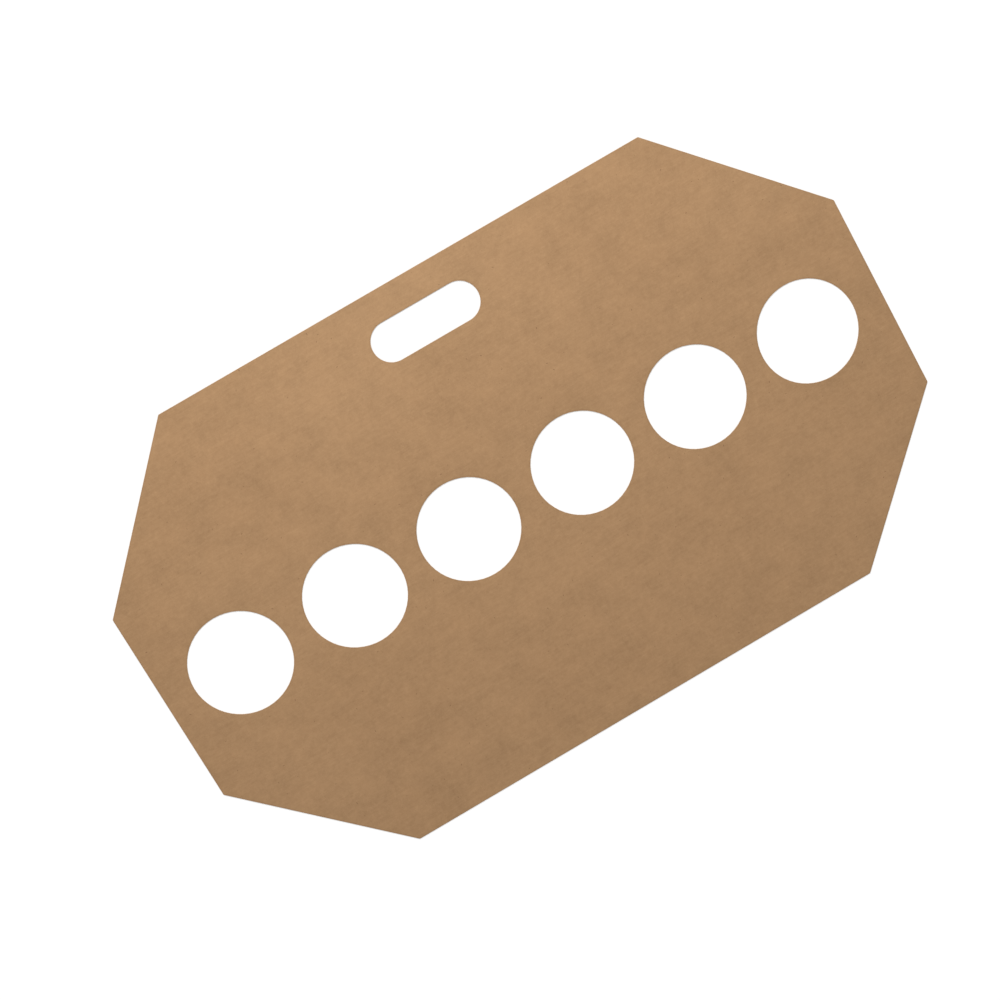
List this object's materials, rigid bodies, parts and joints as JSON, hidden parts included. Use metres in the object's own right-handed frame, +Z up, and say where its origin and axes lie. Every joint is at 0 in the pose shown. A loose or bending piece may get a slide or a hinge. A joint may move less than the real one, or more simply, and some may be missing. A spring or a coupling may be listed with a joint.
{
  "type": "cardboard cup carrier",
  "caption": "Flat kraft-board cup carrier: a sheet with cut-off corners, a row of round cup holes along its middle and a hand slot beside one long edge.",
  "frame": {"origin": "middle of the sheet's outline, on its underside", "axes": "+X along the row of cup holes, +Y towards the hand slot, +Z up out of the board"},
  "size_m": [0.6, 0.3664, 0.0006],
  "materials": {
    "board": "matte"
  },
  "bodies": {
    "root": {"carrier_sheet": "board"}
  },
  "joints": []
}
